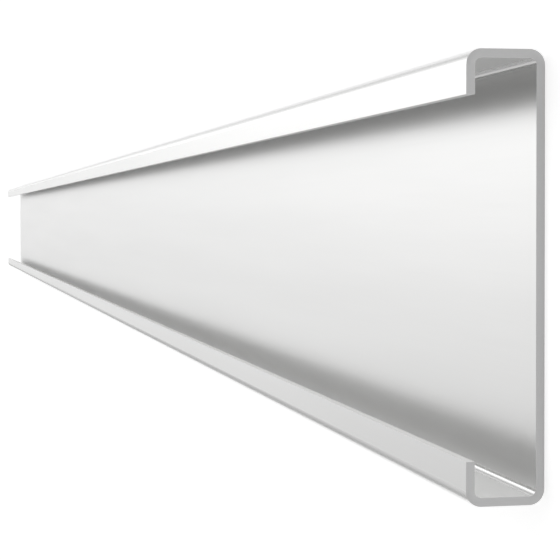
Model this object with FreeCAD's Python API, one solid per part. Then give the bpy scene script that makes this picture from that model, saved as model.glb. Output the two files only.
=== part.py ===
import FreeCAD, Part
import os
from math import cos, radians, sin

# Plinth profile: one strip of stainless sheet folded along four lines into a shallow
# channel. The broad web is the plinth's visible face. A flange turns back from each long
# edge of the web, and a short lip turns inward from the free edge of each flange, so the
# open side has a mouth between the two lips. Both ends are cut square.
#
# Frame, in millimetres: the profile lies on its web, open side up. X runs along the
# length, Y across the height that the plinth has when it is fitted, Z up from the web's
# outer face. The origin is in the middle of the web's outer face.

# Driving dimensions
LENGTH = 2000.0         # one stock length
HEIGHT = 100.0          # over the two flanges
DEPTH = 18.0            # from the web's outer face to the outer face of the lips
LIP = 10.0              # width of each lip, over the flange
SHEET = 2.0             # sheet thickness
INSIDE_RADIUS = 1.5     # inside radius of every fold

# Worked out from them
OUTSIDE_RADIUS = INSIDE_RADIUS + SHEET
HALF_LENGTH = LENGTH / 2
FLANGE = HEIGHT / 2             # Y of a flange's outer face
LIP_EDGE = FLANGE - LIP         # Y of a lip's cut edge
FOLD_Y = FLANGE - OUTSIDE_RADIUS            # Y of both fold centres of one flange
LOW_FOLD_Z = OUTSIDE_RADIUS                 # Z of the fold centre at the web
HIGH_FOLD_Z = DEPTH - OUTSIDE_RADIUS        # Z of the fold centre at the lip


def point(y, z):
    """A point of the section, in the plane of the first end."""
    return FreeCAD.Vector(-HALF_LENGTH, y, z)


def line(start, end):
    """A flat stretch of the section, from one (y, z) to another."""
    return Part.LineSegment(point(*start), point(*end)).toShape()


def fold(side, centre_z, radius, first, last):
    """One face of a fold: an arc from angle first to angle last, in degrees from the
    outward side of its flange towards +Z."""
    through = []
    for angle in (first, (first + last) / 2, last):
        y = side * (FOLD_Y + radius * cos(radians(angle)))
        z = centre_z + radius * sin(radians(angle))
        through.append(point(y, z))
    return Part.Arc(*through).toShape()


def flange_edges(side):
    """Edges of one flange with its two folds and its lip; side is -1 or +1."""
    return [
        # outer face, from the web round to the lip
        fold(side, LOW_FOLD_Z, OUTSIDE_RADIUS, -90, 0),
        line((side * FLANGE, LOW_FOLD_Z), (side * FLANGE, HIGH_FOLD_Z)),
        fold(side, HIGH_FOLD_Z, OUTSIDE_RADIUS, 0, 90),
        line((side * FOLD_Y, DEPTH), (side * LIP_EDGE, DEPTH)),
        # cut edge of the lip
        line((side * LIP_EDGE, DEPTH), (side * LIP_EDGE, DEPTH - SHEET)),
        # inner face, from the lip back to the web
        line((side * LIP_EDGE, DEPTH - SHEET), (side * FOLD_Y, DEPTH - SHEET)),
        fold(side, HIGH_FOLD_Z, INSIDE_RADIUS, 90, 0),
        line((side * (FLANGE - SHEET), HIGH_FOLD_Z), (side * (FLANGE - SHEET), LOW_FOLD_Z)),
        fold(side, LOW_FOLD_Z, INSIDE_RADIUS, 0, -90),
    ]


def web_edges():
    """The two flat faces of the web."""
    return [
        line((-FOLD_Y, 0), (FOLD_Y, 0)),
        line((-FOLD_Y, SHEET), (FOLD_Y, SHEET)),
    ]


def plinth_channel():
    """The folded strip, whole: its section swept along the length."""
    edges = web_edges() + flange_edges(-1) + flange_edges(1)
    outline = Part.Wire(Part.__sortEdges__(edges))
    return Part.Face(outline).extrude(FreeCAD.Vector(LENGTH, 0, 0))


os.makedirs("parts", exist_ok=True)
plinth_channel().exportStep("parts/plinth_channel.step")
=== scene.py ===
from math import cos, radians, sin

import bmesh
import bpy
from mathutils import Matrix, Vector


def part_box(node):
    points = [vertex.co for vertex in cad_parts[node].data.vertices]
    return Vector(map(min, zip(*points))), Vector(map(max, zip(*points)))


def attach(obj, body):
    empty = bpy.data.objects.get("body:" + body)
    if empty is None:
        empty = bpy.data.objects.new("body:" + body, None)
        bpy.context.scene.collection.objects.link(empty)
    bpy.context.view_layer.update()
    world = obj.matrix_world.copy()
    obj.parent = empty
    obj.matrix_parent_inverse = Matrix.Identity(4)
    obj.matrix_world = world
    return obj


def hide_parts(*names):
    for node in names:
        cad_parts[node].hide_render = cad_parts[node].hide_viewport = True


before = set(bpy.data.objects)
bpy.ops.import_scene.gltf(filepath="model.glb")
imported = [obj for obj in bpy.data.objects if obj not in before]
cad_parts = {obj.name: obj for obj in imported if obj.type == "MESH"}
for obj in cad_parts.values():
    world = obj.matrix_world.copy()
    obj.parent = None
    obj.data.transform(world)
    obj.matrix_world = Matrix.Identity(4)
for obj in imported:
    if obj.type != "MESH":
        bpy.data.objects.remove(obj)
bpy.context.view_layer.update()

# A stainless steel plinth profile, lying on its web with the open side up. The frame is
# in metres: X along the length, Y across the height that the plinth has when fitted, Z up.
# The near end is the one at the low end of X.

NODE = "plinth_channel"

# The section's sizes. The height, depth and length are the CAD node's own.
LOW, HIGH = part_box(NODE)
LENGTH = HIGH.x - LOW.x
HEIGHT = HIGH.y - LOW.y
DEPTH = HIGH.z - LOW.z
SHEET = 0.002
LIP = 0.010
INSIDE_RADIUS = 0.0015
OUTSIDE_RADIUS = INSIDE_RADIUS + SHEET

# How finely the visible mesh is cut
FOLD_STEPS = 20             # facets round one fold
EDGE_RADIUS = 0.00004       # the deburred cut edges
EDGE_STEPS = 3
SPAN = 0.05                 # the longest stretch of mesh between two rings of points
SHARP_ANGLE = 60.0          # edges sharper than this, in degrees, are cut edges
SAME_WAY = 1e-6             # directions closer than this are the same

# Finishes, and their places in the piece's list of materials
FLAT, FOLD, CUT = 0, 1, 2
STEEL_DARK = (0.73, 0.73, 0.725)
STEEL_LIGHT = (0.755, 0.755, 0.75)
SATIN_ROUGH = (0.34, 0.38)
FOLD_ROUGH = (0.20, 0.24)   # burnished where the sheet was pressed round
GRAIN_DEPTH = 0.000002
CUT_DARK = (0.51, 0.51, 0.51)
CUT_LIGHT = (0.55, 0.55, 0.55)
CUT_ROUGH = (0.50, 0.62)
MARK_DEPTH = 0.00002

# Floor and light
FLOOR_SIDE = 60.0
FLOOR_COLOUR = (0.86, 0.86, 0.86)
FLOOR_LIFT = 0.52
# The room's light, as (part of the direction along an axis, level) stops. The front light,
# past the far end, is its level across Y times its share up Z. The back light is dimmer.
FRONT_ACROSS = ((-1.0, 1.3), (-0.35, 1.8), (-0.16, 2.55), (-0.08, 2.7), (0.0, 1.75), (0.08, 1.6),
                (0.16, 1.12), (1.0, 1.0))
FRONT_UP = ((-1.0, 0.3), (0.0, 0.3), (0.12, 0.53), (0.3, 1.0), (1.0, 0.3))
FRONT_SHARE = ((-1.0, 0.0), (-0.25, 0.0), (0.25, 1.0), (1.0, 1.0))
BACK_ACROSS = ((-1.0, 0.5), (1.0, 0.9))

# Camera
LENS = 114.5
SENSOR = 36.0
CAMERA_BACK = 3.711 * HEIGHT
CAMERA_ACROSS = -0.137 * HEIGHT
CAMERA_HEIGHT = 1.347 * HEIGHT
LOOK_DOWN = 11.487
LOOK_ASIDE = 2.049
CAMERA_ROLL = 0.18


# ---- the folded strip -------------------------------------------------------------------

def half_outline():
    """The centre line of half the section, from the middle of the web to a lip's edge, as
    (y, z, outward y, outward z) at each point. Outward is away from the channel."""
    fold_y = HEIGHT / 2 - OUTSIDE_RADIUS
    middle = INSIDE_RADIUS + SHEET / 2
    points = [(0.0, SHEET / 2, 0.0, -1.0)]
    for centre_z, first in ((OUTSIDE_RADIUS, -90.0), (DEPTH - OUTSIDE_RADIUS, 0.0)):
        for step in range(FOLD_STEPS + 1):
            angle = radians(first + 90.0 * step / FOLD_STEPS)
            out_y, out_z = cos(angle), sin(angle)
            points.append((fold_y + middle * out_y, centre_z + middle * out_z, out_y, out_z))
    points.append((HEIGHT / 2 - LIP, DEPTH - SHEET / 2, 0.0, 1.0))
    return points


def centre_line():
    """The centre line of the whole section, from lip to lip."""
    half = half_outline()
    mirrored = [(-y, z, -out_y, out_z) for y, z, out_y, out_z in reversed(half[1:])]
    return mirrored + half


def same_way(start, end):
    """True if the sheet faces the same way at both points of the centre line."""
    return abs(start[2] - end[2]) + abs(start[3] - end[3]) < SAME_WAY


def strip_mesh(name):
    """The folded strip as one closed mesh. Its flats, its folds and its two cut ends have
    a material each. All cut edges, at the ends and along the lips, are slightly rounded."""
    line = centre_line()
    last = len(line) - 1
    finish = [FLAT if same_way(start, end) else FOLD for start, end in zip(line, line[1:])]
    faces = []
    for offset in (SHEET / 2, -SHEET / 2):
        faces.append([(y + offset * out_y, z + offset * out_z) for y, z, out_y, out_z in line])
    spans = round(LENGTH / SPAN)
    mesh = bmesh.new()
    rings = []
    for ring in range(spans + 1):
        x = LOW.x + LENGTH * ring / spans
        rings.append([[mesh.verts.new((x, y, z)) for y, z in face] for face in faces])
    for near, far in zip(rings, rings[1:]):
        for i in range(last):
            for near_face, far_face in zip(near, far):
                corners = (near_face[i], near_face[i + 1], far_face[i + 1], far_face[i])
                mesh.faces.new(corners).material_index = finish[i]
        for i in (0, last):
            mesh.faces.new((near[0][i], far[0][i], far[1][i], near[1][i])).material_index = FLAT
    for outer, inner in (rings[0], rings[-1]):
        for i in range(last):
            corners = (inner[i], inner[i + 1], outer[i + 1], outer[i])
            mesh.faces.new(corners).material_index = CUT
    bmesh.ops.recalc_face_normals(mesh, faces=mesh.faces)
    sharp = [edge for edge in mesh.edges if edge.calc_face_angle() > radians(SHARP_ANGLE)]
    bmesh.ops.bevel(mesh, geom=sharp, offset=EDGE_RADIUS, offset_type="OFFSET", profile=0.5,
                    segments=EDGE_STEPS, affect="EDGES", clamp_overlap=False)
    data = bpy.data.meshes.new(name)
    mesh.to_mesh(data)
    mesh.free()
    data.shade_smooth()
    return data


def strip():
    """The piece itself. Its normals follow the larger faces, so the flats stay flat."""
    piece = bpy.data.objects.new("folded_strip", strip_mesh("folded_strip"))
    bpy.context.scene.collection.objects.link(piece)
    piece.data.materials.append(satin_steel("satin_stainless", SATIN_ROUGH))
    piece.data.materials.append(satin_steel("folded_stainless", FOLD_ROUGH))
    piece.data.materials.append(cut_steel())
    normals = piece.modifiers.new("flat_faces", "WEIGHTED_NORMAL")
    normals.mode = "FACE_AREA"
    normals.weight = 100
    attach(piece, "root")
    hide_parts(NODE)
    return piece


# ---- materials --------------------------------------------------------------------------

def new_material(name):
    """A material with an empty node tree, and its tree."""
    material = bpy.data.materials.new(name)
    material.use_nodes = True
    material.node_tree.nodes.clear()
    return material, material.node_tree


def noise(tree, stretch, scale, detail, seed):
    """Noise over the object's own coordinates, stretched by a factor for each axis."""
    place = tree.nodes.new("ShaderNodeTexCoord")
    mapping = tree.nodes.new("ShaderNodeMapping")
    mapping.inputs["Scale"].default_value = stretch
    mapping.inputs["Location"].default_value = (seed, seed, seed)
    tree.links.new(place.outputs["Object"], mapping.inputs["Vector"])
    texture = tree.nodes.new("ShaderNodeTexNoise")
    texture.inputs["Scale"].default_value = scale
    texture.inputs["Detail"].default_value = detail
    tree.links.new(mapping.outputs["Vector"], texture.inputs["Vector"])
    return texture.outputs["Fac"]


def between(tree, factor, low, high):
    """A number that runs from low to high as factor runs from 0.25 to 0.75."""
    node = tree.nodes.new("ShaderNodeMapRange")
    node.inputs["From Min"].default_value = 0.25
    node.inputs["From Max"].default_value = 0.75
    node.inputs["To Min"].default_value = low
    node.inputs["To Max"].default_value = high
    tree.links.new(factor, node.inputs["Value"])
    return node.outputs["Result"]


def two_tones(tree, factor, dark, light):
    """A colour that runs from dark to light as factor runs from 0.3 to 0.7."""
    ramp = tree.nodes.new("ShaderNodeValToRGB")
    ramp.color_ramp.elements[0].position = 0.3
    ramp.color_ramp.elements[0].color = (*dark, 1)
    ramp.color_ramp.elements[1].position = 0.7
    ramp.color_ramp.elements[1].color = (*light, 1)
    tree.links.new(factor, ramp.inputs["Fac"])
    return ramp.outputs["Color"]


def metal(tree, colour, roughness, height, distance):
    """A metal surface with that colour, roughness and relief."""
    surface = tree.nodes.new("ShaderNodeBsdfPrincipled")
    surface.inputs["Metallic"].default_value = 1.0
    bump = tree.nodes.new("ShaderNodeBump")
    bump.inputs["Strength"].default_value = 1.0
    bump.inputs["Distance"].default_value = distance
    output = tree.nodes.new("ShaderNodeOutputMaterial")
    tree.links.new(colour, surface.inputs["Base Color"])
    tree.links.new(roughness, surface.inputs["Roughness"])
    tree.links.new(height, bump.inputs["Height"])
    tree.links.new(bump.outputs["Normal"], surface.inputs["Normal"])
    tree.links.new(surface.outputs["BSDF"], output.inputs["Surface"])


def satin_steel(name, roughness):
    """Satin stainless: a very fine grain along the length, and a faint slow unevenness."""
    material, tree = new_material(name)
    grain = noise(tree, stretch=(0.004, 1.0, 1.0), scale=4000.0, detail=3.0, seed=0.0)
    cloud = noise(tree, stretch=(0.05, 1.0, 1.0), scale=60.0, detail=2.0, seed=3.0)
    colour = two_tones(tree, cloud, STEEL_DARK, STEEL_LIGHT)
    metal(tree, colour, between(tree, grain, *roughness), grain, GRAIN_DEPTH)
    return material


def cut_steel():
    """Sawn edges: duller and rougher than the sheet's faces, with fine marks across."""
    material, tree = new_material("cut_stainless")
    marks = noise(tree, stretch=(1.0, 1.0, 0.15), scale=2500.0, detail=4.0, seed=7.0)
    colour = two_tones(tree, marks, CUT_DARK, CUT_LIGHT)
    metal(tree, colour, between(tree, marks, *CUT_ROUGH), marks, MARK_DEPTH)
    return material


# ---- floor, light and camera ------------------------------------------------------------

def floor():
    """A wide white floor at the height that the profile lies on. It adds a little white of
    its own to what the camera and the reflections see, and keeps the shadow."""
    half = FLOOR_SIDE / 2
    data = bpy.data.meshes.new("floor")
    corners = [(-half, -half, 0), (half, -half, 0), (half, half, 0), (-half, half, 0)]
    data.from_pydata(corners, [], [(0, 1, 2, 3)])
    sheet = bpy.data.objects.new("floor", data)
    bpy.context.scene.collection.objects.link(sheet)
    material, tree = new_material("white_floor")
    diffuse = tree.nodes.new("ShaderNodeBsdfDiffuse")
    diffuse.inputs["Color"].default_value = (*FLOOR_COLOUR, 1)
    glow = tree.nodes.new("ShaderNodeEmission")
    path = tree.nodes.new("ShaderNodeLightPath")
    seen = path.outputs["Is Camera Ray"]
    for ray in ("Is Glossy Ray", "Is Transmission Ray"):
        seen = combine(tree, "MAXIMUM", seen, path.outputs[ray])
    tree.links.new(combine(tree, "MULTIPLY", seen, FLOOR_LIFT), glow.inputs["Strength"])
    both = tree.nodes.new("ShaderNodeAddShader")
    output = tree.nodes.new("ShaderNodeOutputMaterial")
    tree.links.new(diffuse.outputs["BSDF"], both.inputs[0])
    tree.links.new(glow.outputs["Emission"], both.inputs[1])
    tree.links.new(both.outputs["Shader"], output.inputs["Surface"])
    data.materials.append(material)


def combine(tree, operation, first, second):
    """first and second put together by a Math node; second may be a plain number."""
    node = tree.nodes.new("ShaderNodeMath")
    node.operation = operation
    tree.links.new(first, node.inputs[0])
    if isinstance(second, float):
        node.inputs[1].default_value = second
    else:
        tree.links.new(second, node.inputs[1])
    return node.outputs["Value"]


def along(tree, coordinate, stops):
    """A level from (coordinate, level) stops, with straight runs between them."""
    top = max(value for _, value in stops)
    share = tree.nodes.new("ShaderNodeMapRange")
    share.inputs["From Min"].default_value = -1.0
    share.inputs["From Max"].default_value = 1.0
    tree.links.new(coordinate, share.inputs["Value"])
    ramp = tree.nodes.new("ShaderNodeValToRGB")
    ramp.color_ramp.interpolation = "LINEAR"
    elements = ramp.color_ramp.elements
    while len(elements) < len(stops):
        elements.new(0.5)
    for element, (place, value) in zip(elements, stops):
        element.position = (place + 1) / 2
        element.color = (value / top, value / top, value / top, 1)
    tree.links.new(share.outputs["Result"], ramp.inputs["Fac"])
    return combine(tree, "MULTIPLY", ramp.outputs["Color"], top)


def room():
    """Soft light from all round, brightest from low over the far end."""
    world = bpy.data.worlds.new("room")
    bpy.context.scene.world = world
    world.use_nodes = True
    tree = world.node_tree
    tree.nodes.clear()
    way = tree.nodes.new("ShaderNodeTexCoord")
    axes = tree.nodes.new("ShaderNodeSeparateXYZ")
    tree.links.new(way.outputs["Generated"], axes.inputs["Vector"])
    across = along(tree, axes.outputs["Y"], FRONT_ACROSS)
    up = along(tree, axes.outputs["Z"], FRONT_UP)
    front = combine(tree, "MULTIPLY", across, up)
    mix = tree.nodes.new("ShaderNodeMix")
    tree.links.new(along(tree, axes.outputs["Y"], BACK_ACROSS), mix.inputs["A"])
    tree.links.new(along(tree, axes.outputs["X"], FRONT_SHARE), mix.inputs["Factor"])
    tree.links.new(front, mix.inputs["B"])
    background = tree.nodes.new("ShaderNodeBackground")
    output = tree.nodes.new("ShaderNodeOutputWorld")
    tree.links.new(mix.outputs["Result"], background.inputs["Strength"])
    tree.links.new(background.outputs["Background"], output.inputs["Surface"])


def camera():
    """Beyond the near end and just above the open side, looking along the channel. It is
    turned on its side, so the plinth's height runs up the picture as when it is fitted."""
    place = Vector((LOW.x - CAMERA_BACK, CAMERA_ACROSS, CAMERA_HEIGHT))
    down, aside, roll = radians(LOOK_DOWN), radians(LOOK_ASIDE), radians(CAMERA_ROLL)
    ahead = Vector((cos(down) * cos(aside), sin(aside), -sin(down) * cos(aside)))
    level = Vector((-sin(down), 0, -cos(down)))
    below = ahead.cross(level)
    right = level * cos(roll) + below * sin(roll)
    up = -(below * cos(roll) - level * sin(roll))
    turn = Matrix((right, up, -ahead)).transposed()
    data = bpy.data.cameras.new("camera")
    data.lens = LENS
    data.sensor_width = SENSOR
    data.clip_start = 0.01
    data.clip_end = 100.0
    eye = bpy.data.objects.new("camera", data)
    eye.matrix_world = Matrix.Translation(place) @ turn.to_4x4()
    bpy.context.scene.collection.objects.link(eye)
    bpy.context.scene.camera = eye


camera()
strip()
floor()
room()
bpy.context.scene.view_settings.view_transform = "Standard"
